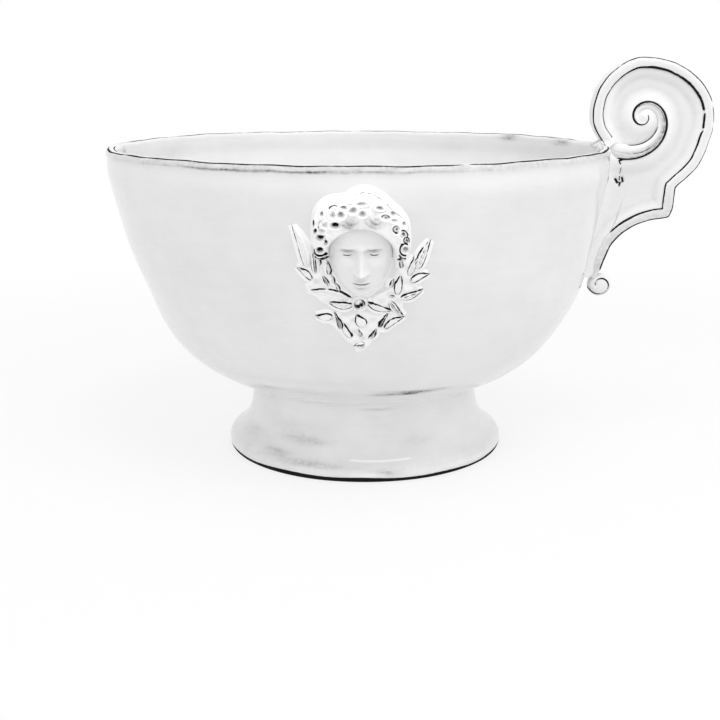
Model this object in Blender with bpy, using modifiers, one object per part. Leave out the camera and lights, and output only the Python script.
"""A footed earthenware bowl with one scroll handle and an applied relief of a head among laurel leaves.

The bowl's axis is vertical, the handle points to +X and the relief to -Y. The bowl stands on z = 0.
"""

import math

import bmesh
import bpy
from mathutils import Matrix, Vector

# Bowl, in metres
RIM_RADIUS = 0.116
RIM_HEIGHT = 0.1418
WALL = 0.005
UNDERSIDE = 0.0360
FLAT_RADIUS = 0.057
BELLY_REACH = 0.0886
BELLY_RADIUS = 0.1053
BELLY_HEIGHT = 0.0761

# Foot ring
FOOT_RADIUS = 0.0663
FOOT_WIDTH = 0.0123
ROLL_HEIGHT = 0.006
NECK_RADIUS = 0.0539
NECK_HEIGHT = 0.0275
NECK_WALL = 0.0075
SCOTIA_HEIGHT = 0.0220
SWELL_SHARE = 0.95
BASE_BEVEL = 0.002

# Handle: outlines run from the rim, as (outwards, upwards) from the lip's outer edge
SCROLL_OUTLINE = (
    (-0.0008, -0.0018), (-0.0064, 0.0067), (-0.0078, 0.0152), (-0.0051, 0.0252), (0.0015, 0.0335),
    (0.0123, 0.0388), (0.0260, 0.0374), (0.0373, 0.0317), (0.0454, 0.0222), (0.0478, 0.0122),
    (0.0466, 0.0027), (0.0414, -0.0103), (0.0318, -0.0199),
)
STEP_OUTLINE = ((0.0318, -0.0199), (0.0303, -0.0288), (0.0284, -0.0336))
TAIL_OUTLINE = (
    (0.0284, -0.0336), (0.0184, -0.0353), (0.0093, -0.0394), (0.0029, -0.0453), (-0.0006, -0.0524),
    (-0.0028, -0.0604),
)
BORDER_WIDTH = 0.005
BORDER_THICKNESS = 0.009
WEB_THICKNESS = 0.006
CURL_RADIUS = 0.0052
CURL_THICKNESS = 0.0085

# Volute: a spiral strip round an eye, its radius and width falling off with the angle turned
VOLUTE_EYE = (0.0153, 0.0122)
VOLUTE_START = math.radians(-125)
VOLUTE_TURN = math.radians(515)
VOLUTE_INNER_RADIUS = 0.0025
VOLUTE_REACH = 0.020
VOLUTE_RADIUS_DECAY = math.radians(150)
VOLUTE_TIP_WIDTH = 0.0022
VOLUTE_ROOT_WIDTH = 0.0056
VOLUTE_WIDTH_DECAY = math.radians(140)
VOLUTE_HEIGHT = 0.0016

# Relief on the front of the wall: places are (to the right, upwards) from the knot
KNOT_DROP = 0.0532
BERRY_RADIUS = 0.0016
FACE_CENTRE = (0.0, 0.0205)
FACE_SIZE = (0.0265, 0.019, 0.0340)
HAIR_PATH = (
    (-0.0142, 0.0135, 0.0028), (-0.0143, 0.0190, 0.0036), (-0.0120, 0.0285, 0.0050),
    (-0.0065, 0.0365, 0.0058), (0.0005, 0.0395, 0.0062), (0.0075, 0.0365, 0.0058),
    (0.0128, 0.0285, 0.0050), (0.0150, 0.0190, 0.0036), (0.0148, 0.0135, 0.0028),
)
LEAF_THICKNESS = 0.0022
LEAF_TAPER = 0.3
# Each leaf: base, tip and width
LEFT_LEAVES = (
    ((-0.0226, 0.0162), (-0.0264, 0.0320), 0.0040),
    ((-0.0194, 0.0123), (-0.0196, 0.0220), 0.0020),
    ((-0.0206, 0.0104), (-0.0262, 0.0148), 0.0033),
    ((-0.0060, 0.0030), (-0.0215, 0.0068), 0.0034),
    ((-0.0028, 0.0000), (-0.0140, 0.0010), 0.0030),
    ((-0.0120, 0.0076), (-0.0165, 0.0098), 0.0022),
)
RIGHT_LEAVES = (
    ((0.0226, 0.0142), (0.0276, 0.0260), 0.0040),
    ((0.0199, 0.0124), (0.0204, 0.0200), 0.0022),
    ((0.0190, 0.0092), (0.0268, 0.0122), 0.0034),
    ((0.0152, 0.0030), (0.0240, 0.0056), 0.0034),
    ((0.0132, 0.0045), (0.0160, 0.0088), 0.0024),
    ((0.0030, 0.0010), (0.0118, -0.0024), 0.0034),
)
LOWER_LEAVES = (
    ((-0.0118, -0.0078), (-0.0190, -0.0058), 0.0036),
    ((-0.0093, -0.0108), (-0.0108, -0.0044), 0.0024),
    ((-0.0052, -0.0156), (-0.0076, -0.0080), 0.0034),
    ((0.0000, -0.0170), (-0.0022, -0.0222), 0.0032),
    ((-0.0006, -0.0108), (-0.0002, -0.0040), 0.0044),
    ((0.0022, -0.0172), (0.0050, -0.0124), 0.0026),
    ((0.0062, -0.0108), (0.0092, -0.0062), 0.0026),
    ((0.0085, -0.0128), (0.0160, -0.0068), 0.0034),
)

CLEARANCE = 0.0003
SEGMENTS = 72
WALL_STEPS = 11
LIP_STEPS = 6
FOOT_STEPS = 6
CURVE_STEPS = 5
HAIR_STEPS = 3
VOLUTE_STEPS = 64
CURL_SEGMENTS = 28
LOOP_SHARE = 0.985
WELD = 0.000001
SMOOTH_ANGLE = math.radians(35)
GLAZE_COLOUR = (0.82, 0.82, 0.815, 1.0)
GLAZE_ROUGHNESS = 0.22

# The origin is the middle of the object's footprint, so the axis is set back from both reaches
HANDLE_REACH = RIM_RADIUS + max(outwards for outwards, _ in SCROLL_OUTLINE)


def bezier(controls, t):
    """Point and direction at t on a cubic Bezier curve."""
    a, b, c, d = (Vector(control) for control in controls)
    s = 1 - t
    point = s**3 * a + 3 * s**2 * t * b + 3 * s * t**2 * c + t**3 * d
    slope = s**2 * (b - a) + 2 * s * t * (c - b) + t**2 * (d - c)
    return point, slope.normalized()


def bezier_points(controls, steps):
    return [bezier(controls, step / steps)[0] for step in range(steps + 1)]


def smooth_path(points, steps=CURVE_STEPS):
    """Points along a smooth curve through the given ones."""
    points = [Vector(point) for point in points]
    ends = [2 * points[0] - points[1], *points, 2 * points[-1] - points[-2]]
    path = []
    for before, start, end, after in zip(ends, ends[1:], ends[2:], ends[3:]):
        controls = (start, start + (end - before) / 6, end - (after - start) / 6, end)
        path += bezier_points(controls, steps)[:-1]
    return path + [points[-1]]


def offset_path(path, distance):
    """The path moved to its right by a distance, with mitred corners and no loops inside tight turns."""
    moved = []
    for i, point in enumerate(path):
        before = (point - path[max(i - 1, 0)]).normalized()
        after = (path[min(i + 1, len(path) - 1)] - point).normalized()
        before = before if i else after
        after = after if i + 1 < len(path) else before
        normal = Vector((before.y + after.y, -before.x - after.x)).normalized()
        moved.append(point + normal * distance / normal.dot(Vector((after.y, -after.x))))
    nearest = LOOP_SHARE * distance
    return [place for place in moved if min((place - point).length for point in path) > nearest]


WALL_CONTROLS = (
    (FLAT_RADIUS, UNDERSIDE),
    (BELLY_REACH, UNDERSIDE),
    (BELLY_RADIUS, BELLY_HEIGHT),
    (RIM_RADIUS, RIM_HEIGHT - WALL / 2),
)


def wall_profile(distance):
    """The outside of the wall from foot to lip as (radius, height), moved inwards by a distance."""
    profile = []
    for step in range(WALL_STEPS + 1):
        point, slope = bezier(WALL_CONTROLS, step / WALL_STEPS)
        profile.append(point + Vector((-slope.y, slope.x)) * distance)
    return profile


def lip_arc(radius, first, steps):
    """The round of the lip from an angle down to 0 on the outside; pi is on the inside."""
    edge, slope = bezier(WALL_CONTROLS, 1.0)
    outwards = Vector((slope.y, -slope.x))
    centre = edge - outwards * WALL / 2
    angles = [first * (1 - step / steps) for step in range(steps + 1)]
    return [centre + radius * (math.cos(a) * outwards + math.sin(a) * slope) for a in angles]


def lip_crest():
    """The angle of the lip's highest point, past a right angle because the wall leans out."""
    slope = bezier(WALL_CONTROLS, 1.0)[1]
    return math.pi - math.atan2(slope.y, slope.x)


def wall_place(across, height):
    """Place and frame on the front of the wall: X to the right, Y up along the wall, Z outwards."""
    low, high = 0.0, 1.0
    while high - low > 1e-6:
        middle = (low + high) / 2
        low, high = (middle, high) if bezier(WALL_CONTROLS, middle)[0].y < height else (low, middle)
    point, slope = bezier(WALL_CONTROLS, low)
    turn = math.asin(across / point.x)
    radial = Vector((math.sin(turn), -math.cos(turn), 0))
    right = Vector((math.cos(turn), math.sin(turn), 0))
    up = radial * slope.x + Vector((0, 0, slope.y))
    frame = Matrix((right, up, right.cross(up))).transposed().to_4x4()
    return Matrix.Translation(radial * point.x + Vector((0, 0, point.y))) @ frame


def relief_place(place):
    across, above = place
    return wall_place(across, RIM_HEIGHT - KNOT_DROP + above)


def clear_scene():
    for obj in list(bpy.data.objects):
        bpy.data.objects.remove(obj)


def new_collection(name):
    collection = bpy.data.collections.new(name)
    bpy.context.scene.collection.children.link(collection)
    return collection


def glaze(name):
    material = bpy.data.materials.new(name)
    material.use_nodes = True
    shader = material.node_tree.nodes["Principled BSDF"]
    shader.inputs["Base Color"].default_value = GLAZE_COLOUR
    shader.inputs["Roughness"].default_value = GLAZE_ROUGHNESS
    shader.inputs["Metallic"].default_value = 0.0
    return material


clear_scene()
parts = new_collection("footed_bowl")
cutters = new_collection("cutters")
axis = bpy.data.objects.new("bowl_axis", None)
parts.objects.link(axis)


def add_part(name, mesh, place=None):
    obj = bpy.data.objects.new(name, mesh)
    parts.objects.link(obj)
    obj.parent = axis
    if place:
        obj.matrix_local = place
    mesh.materials.append(glaze(name + "_glaze"))
    mesh.shade_smooth()
    mesh.set_sharp_from_angle(angle=SMOOTH_ANGLE)
    return obj


def add_cutter(name, mesh, place=None):
    obj = bpy.data.objects.new(name, mesh)
    cutters.objects.link(obj)
    obj.parent = axis
    if place:
        obj.matrix_local = place
    obj.hide_render = True
    obj.display_type = "WIRE"
    return obj


def mesh_from(bm, name):
    mesh = bpy.data.meshes.new(name)
    bm.to_mesh(mesh)
    bm.free()
    return mesh


def profile_mesh(name, profile, closed):
    bm = bmesh.new()
    verts = [bm.verts.new((radius, 0, height)) for radius, height in profile]
    for start, end in zip(verts, verts[1:]):
        bm.edges.new((start, end))
    if closed:
        bm.edges.new((verts[-1], verts[0]))
    return mesh_from(bm, name)


def turn(obj):
    """Turns a profile about the axis."""
    screw = obj.modifiers.new("turned", "SCREW")
    screw.steps = SEGMENTS
    screw.render_steps = SEGMENTS
    screw.use_merge_vertices = True
    screw.merge_threshold = 0.00001
    screw.use_smooth_shade = True


def cut(obj, cutter):
    boolean = obj.modifiers.new("cut_by_" + cutter.name, "BOOLEAN")
    boolean.operation = "DIFFERENCE"
    boolean.solver = "EXACT"
    boolean.object = cutter


def curve_mesh(curve):
    """A filled curve made a closed mesh, its caps welded to its sides."""
    guide = bpy.data.objects.new(curve.name + "_guide", curve)
    cutters.objects.link(guide)
    bpy.context.view_layer.update()
    mesh = bpy.data.meshes.new_from_object(guide.evaluated_get(bpy.context.evaluated_depsgraph_get()))
    bpy.data.objects.remove(guide)
    bm = bmesh.new()
    bm.from_mesh(mesh)
    bmesh.ops.remove_doubles(bm, verts=bm.verts, dist=WELD)
    bmesh.ops.recalc_face_normals(bm, faces=bm.faces)
    bm.to_mesh(mesh)
    bm.free()
    return mesh


def plate_mesh(name, outline, thickness):
    """A flat outline, (outwards, upwards) from the lip's edge, as a plate in the handle's plane."""
    curve = bpy.data.curves.new(name, "CURVE")
    curve.dimensions = "2D"
    curve.fill_mode = "BOTH"
    curve.extrude = thickness / 2
    spline = curve.splines.new("POLY")
    spline.points.add(len(outline) - 1)
    for point, (outwards, upwards) in zip(spline.points, outline):
        point.co = (outwards, upwards, 0, 1)
    spline.use_cyclic_u = True
    return curve_mesh(curve)


def handle_place(towards_front=0.0):
    """The handle's plane, standing on the lip's outer edge at +X."""
    edge = Matrix.Translation((RIM_RADIUS, -towards_front, RIM_HEIGHT))
    return edge @ Matrix.Rotation(math.pi / 2, 4, "X")


def make_bowl():
    inside = wall_profile(WALL)
    outside = wall_profile(0.0)
    floor = [Vector((0, UNDERSIDE + WALL))]
    base = [Vector((0, UNDERSIDE))]
    lip = lip_arc(WALL / 2, math.pi, LIP_STEPS)
    profile = floor + inside[:-1] + lip + outside[-2::-1] + base
    turn(add_part("bowl", profile_mesh("bowl", profile, closed=False)))


def make_wall_cutter():
    """The bowl's whole outer form, grown by the clearance, that seats the handle and the relief."""
    lip = lip_arc(WALL / 2 + CLEARANCE, lip_crest(), LIP_STEPS)
    outside = wall_profile(-CLEARANCE)
    profile = [Vector((0, lip[0].y)), *lip, *outside[-2::-1], Vector((0, UNDERSIDE - CLEARANCE))]
    cutter = add_cutter("wall_cutter", profile_mesh("wall_cutter", profile, closed=False))
    turn(cutter)
    return cutter


def make_foot_ring():
    """A spool: a hollow neck under the bowl's flat that swells to a roll and a flat ring."""
    top = UNDERSIDE - CLEARANCE
    neck = (NECK_RADIUS, NECK_HEIGHT)
    roll = (FOOT_RADIUS, ROLL_HEIGHT)
    swell = (FOOT_RADIUS - SWELL_SHARE * (FOOT_RADIUS - NECK_RADIUS), 2 * ROLL_HEIGHT)
    spread = ((FLAT_RADIUS, top), (NECK_RADIUS, top), (NECK_RADIUS, (NECK_HEIGHT + top) / 2), neck)
    scotia = (neck, (NECK_RADIUS, SCOTIA_HEIGHT), swell, roll)
    hollow = NECK_RADIUS - NECK_WALL
    base = ((FOOT_RADIUS, BASE_BEVEL), (FOOT_RADIUS - BASE_BEVEL, 0), (FOOT_RADIUS - FOOT_WIDTH, 0))
    profile = bezier_points(spread, FOOT_STEPS)[:-1] + bezier_points(scotia, FOOT_STEPS)
    profile += [*base, (hollow, NECK_HEIGHT), (hollow, top)]
    turn(add_part("foot_ring", profile_mesh("foot_ring", profile, closed=True)))


def handle_outer_path():
    """The outside of the handle, with a sharp turn at each end of its step."""
    step = [Vector(point) for point in STEP_OUTLINE]
    return smooth_path(SCROLL_OUTLINE) + step[1:] + smooth_path(TAIL_OUTLINE)[1:]


def make_handle_border(wall_cutter):
    outer = handle_outer_path()
    outline = outer + offset_path(outer, BORDER_WIDTH)[::-1]
    mesh = plate_mesh("handle_border", outline, BORDER_THICKNESS)
    cut(add_part("handle_border", mesh, handle_place()), wall_cutter)


def make_handle_web(wall_cutter):
    """The slab inside the border. Its closing side runs through the bowl, where the wall cuts it off."""
    outer = handle_outer_path()
    inner = offset_path(outer, BORDER_WIDTH + CLEARANCE)
    below_root = (outer[0] - outer[1]).normalized() * CLEARANCE
    inside = -RIM_RADIUS / 2
    closing = [Vector((inside, inner[-1].y)), Vector((inside, outer[0].y - BORDER_WIDTH))]
    outline = [outer[0] + below_root, inner[0] + below_root, *inner, *closing]
    mesh = plate_mesh("handle_web", outline, WEB_THICKNESS)
    cut(add_part("handle_web", mesh, handle_place()), wall_cutter)


def volute_outline():
    outer = []
    inner = []
    for step in range(VOLUTE_STEPS + 1):
        turned = VOLUTE_TURN * step / VOLUTE_STEPS
        angle = VOLUTE_START + turned
        radius = VOLUTE_INNER_RADIUS + VOLUTE_REACH * math.exp(-turned / VOLUTE_RADIUS_DECAY)
        width = VOLUTE_TIP_WIDTH + VOLUTE_ROOT_WIDTH * math.exp(-turned / VOLUTE_WIDTH_DECAY)
        direction = Vector((math.cos(angle), math.sin(angle)))
        outer.append(Vector(VOLUTE_EYE) + direction * radius)
        inner.append(Vector(VOLUTE_EYE) + direction * (radius - width))
    return outer + inner[::-1]


def make_volutes():
    """The same spiral strip on both faces of the web."""
    seat = WEB_THICKNESS / 2 + CLEARANCE + VOLUTE_HEIGHT / 2
    mesh = plate_mesh("handle_volute", volute_outline(), VOLUTE_HEIGHT)
    add_part("handle_volute_front", mesh, handle_place(seat))
    add_part("handle_volute_back", mesh.copy(), handle_place(-seat))


def make_tail_curl():
    """A short roll that hangs from the outer corner of the handle's tail."""
    tail_end = Vector(TAIL_OUTLINE[-1])
    bm = bmesh.new()
    sides = {"radius1": CURL_RADIUS, "radius2": CURL_RADIUS, "depth": CURL_THICKNESS}
    bmesh.ops.create_cone(bm, cap_ends=True, segments=CURL_SEGMENTS, **sides)
    hung = Matrix.Translation((tail_end.x, tail_end.y - CURL_RADIUS - CLEARANCE, 0))
    add_part("handle_tail_curl", mesh_from(bm, "handle_tail_curl"), handle_place() @ hung)


def dome(name, size, segments=20, rings=14):
    """An egg-shaped body of a width, depth and height, its depth along the wall's normal."""
    width, depth, height = size
    bm = bmesh.new()
    bmesh.ops.create_uvsphere(bm, u_segments=segments, v_segments=rings, radius=0.5)
    bmesh.ops.rotate(bm, verts=bm.verts, matrix=Matrix.Rotation(-math.pi / 2, 3, "X"))
    bmesh.ops.scale(bm, verts=bm.verts, vec=(width, height, depth))
    return mesh_from(bm, name)


def make_face(wall_cutter):
    place = relief_place(FACE_CENTRE)
    cut(add_part("mask_face", dome("mask_face", FACE_SIZE), place), wall_cutter)
    grown = [side + 2 * CLEARANCE for side in FACE_SIZE]
    return add_cutter("face_cutter", dome("face_cutter", grown), place)


def make_hair(wall_cutter, face_cutter):
    """A roll of hair from cheek to cheek, thickest over the brow."""
    curve = bpy.data.curves.new("mask_hair", "CURVE")
    curve.dimensions = "3D"
    curve.bevel_depth = 1.0
    curve.bevel_resolution = 2
    curve.use_fill_caps = True
    path = smooth_path(HAIR_PATH, HAIR_STEPS)
    spline = curve.splines.new("POLY")
    spline.points.add(len(path) - 1)
    for point, (across, above, radius) in zip(spline.points, path):
        point.co = (*relief_place((across, above)).translation, 1)
        point.radius = radius
    hair = add_part("mask_hair", curve_mesh(curve))
    cut(hair, wall_cutter)
    cut(hair, face_cutter)


def leaf_mesh(name, length, width):
    """A lens-shaped leaf along Y, widest near its base."""
    mesh = dome(name, (width, 2 * LEAF_THICKNESS, length), segments=10, rings=8)
    for vertex in mesh.vertices:
        vertex.co.x *= 1 - LEAF_TAPER * 2 * vertex.co.y / length
    return mesh


def make_leaf(name, base, tip, width, wall_cutter):
    base, tip = Vector(base), Vector(tip)
    along = tip - base
    heading = Matrix.Rotation(math.atan2(-along.x, along.y), 4, "Z")
    place = relief_place((base + tip) / 2) @ heading
    cut(add_part(name, leaf_mesh(name, along.length, width), place), wall_cutter)


def make_leaves(wall_cutter):
    for side, leaves in (("left", LEFT_LEAVES), ("right", RIGHT_LEAVES), ("lower", LOWER_LEAVES)):
        for number, (base, tip, width) in enumerate(leaves, 1):
            make_leaf(f"leaf_{side}_{number}", base, tip, width, wall_cutter)


def make_berry(wall_cutter):
    mesh = dome("knot_berry", (2 * BERRY_RADIUS,) * 3, segments=14, rings=10)
    cut(add_part("knot_berry", mesh, relief_place((0, 0))), wall_cutter)


def centre_footprint():
    """Moves the axis so that the origin is under the middle of the whole object."""
    face = relief_place(FACE_CENTRE)
    relief_reach = -(face @ Vector((0, 0, FACE_SIZE[1] / 2))).y
    axis.location = ((RIM_RADIUS - HANDLE_REACH) / 2, (relief_reach - RIM_RADIUS) / 2, 0)


def make_object():
    make_bowl()
    wall_cutter = make_wall_cutter()
    make_foot_ring()
    make_handle_border(wall_cutter)
    make_handle_web(wall_cutter)
    make_volutes()
    make_tail_curl()
    face_cutter = make_face(wall_cutter)
    make_hair(wall_cutter, face_cutter)
    make_berry(wall_cutter)
    make_leaves(wall_cutter)
    centre_footprint()


make_object()
